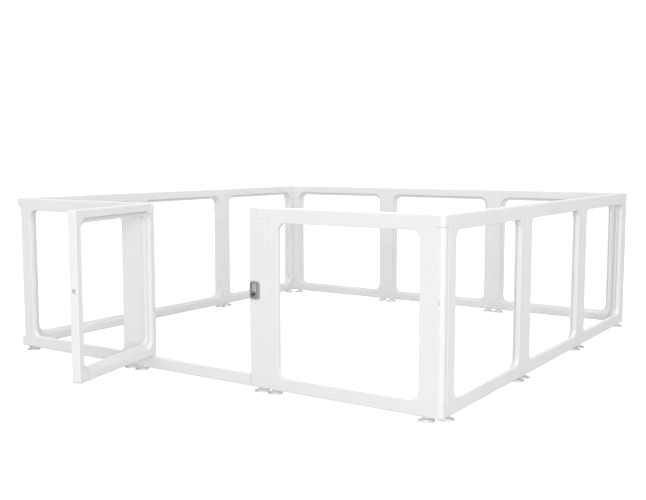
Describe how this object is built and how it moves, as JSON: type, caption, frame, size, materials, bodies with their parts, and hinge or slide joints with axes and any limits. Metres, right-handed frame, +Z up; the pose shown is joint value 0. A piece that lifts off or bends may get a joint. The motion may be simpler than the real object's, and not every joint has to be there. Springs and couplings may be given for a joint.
{
  "type": "pet playpen",
  "caption": "Square pet playpen of white framed clear panels on suction cups, with corner posts and a swinging door that shuts with a sliding latch.",
  "frame": {"origin": "on the floor at the centre of the whole footprint, with the door standing open", "axes": "+Z up, +X along the front wall, +Y from the door wall to the back wall"},
  "size_m": [1.9548, 2.3905, 0.627],
  "materials": {
    "white_plastic": "satin",
    "clear_acrylic": "polished",
    "clear_pvc": "gloss",
    "grey_plastic": "satin",
    "steel": "brushed"
  },
  "bodies": {
    "pen": {"front_panel_1_frame": "white_plastic", "front_panel_3_frame": "white_plastic", "right_panel_1_frame": "white_plastic", "right_panel_2_frame": "white_plastic", "right_panel_3_frame": "white_plastic", "back_panel_1_frame": "white_plastic", "back_panel_2_frame": "white_plastic", "back_panel_3_frame": "white_plastic", "left_panel_1_frame": "white_plastic", "left_panel_2_frame": "white_plastic", "left_panel_3_frame": "white_plastic", "front_panel_1_pane": "clear_acrylic", "front_panel_3_pane": "clear_acrylic", "right_panel_1_pane": "clear_acrylic", "right_panel_2_pane": "clear_acrylic", "right_panel_3_pane": "clear_acrylic", "back_panel_1_pane": "clear_acrylic", "back_panel_2_pane": "clear_acrylic", "back_panel_3_pane": "clear_acrylic", "left_panel_1_pane": "clear_acrylic", "left_panel_2_pane": "clear_acrylic", "left_panel_3_pane": "clear_acrylic", "hinge_post": "white_plastic", "latch_post": "white_plastic", "door_sill": "white_plastic", "sill_screws": "steel", "joint_caps_top": "white_plastic", "joint_caps_bottom": "white_plastic", "corner_caps_top": "white_plastic", "corner_caps_bottom": "white_plastic", "corner_posts": "white_plastic", "corner_rods": "white_plastic", "corner_catches": "white_plastic", "suction_cups": "clear_pvc", "hinge_pin_top": "white_plastic", "hinge_pin_bottom": "steel", "hinge_washer": "white_plastic", "latch_housing": "grey_plastic", "latch_gasket": "grey_plastic", "latch_backplate": "grey_plastic", "latch_screws": "steel", "latch_button_spring": "steel"},
    "door": {"door_frame": "white_plastic", "door_pane": "clear_acrylic", "door_strike": "white_plastic"},
    "latch_bolt": {"latch_bolt": "grey_plastic", "latch_slider": "grey_plastic"},
    "latch_button": {"latch_button": "grey_plastic"}
  },
  "joints": [
    {"name": "door_hinge", "type": "hinge", "parent": "pen", "child": "door", "pos_m": [-0.2305, -0.73371, 0.014], "axis": [0, 0, -1], "range_deg": [-76, 20]},
    {"name": "latch_slide", "type": "slide", "parent": "pen", "child": "latch_bolt", "axis": [-1, 0, 0], "range_m": [0, 0.006]},
    {"name": "button_push", "type": "slide", "parent": "pen", "child": "latch_button", "axis": [0, 1, 0], "range_m": [0, 0.0025], "stiffness_N_per_m": 400, "springref_m": -0.001, "deforming": ["latch_button_spring"]}
  ]
}
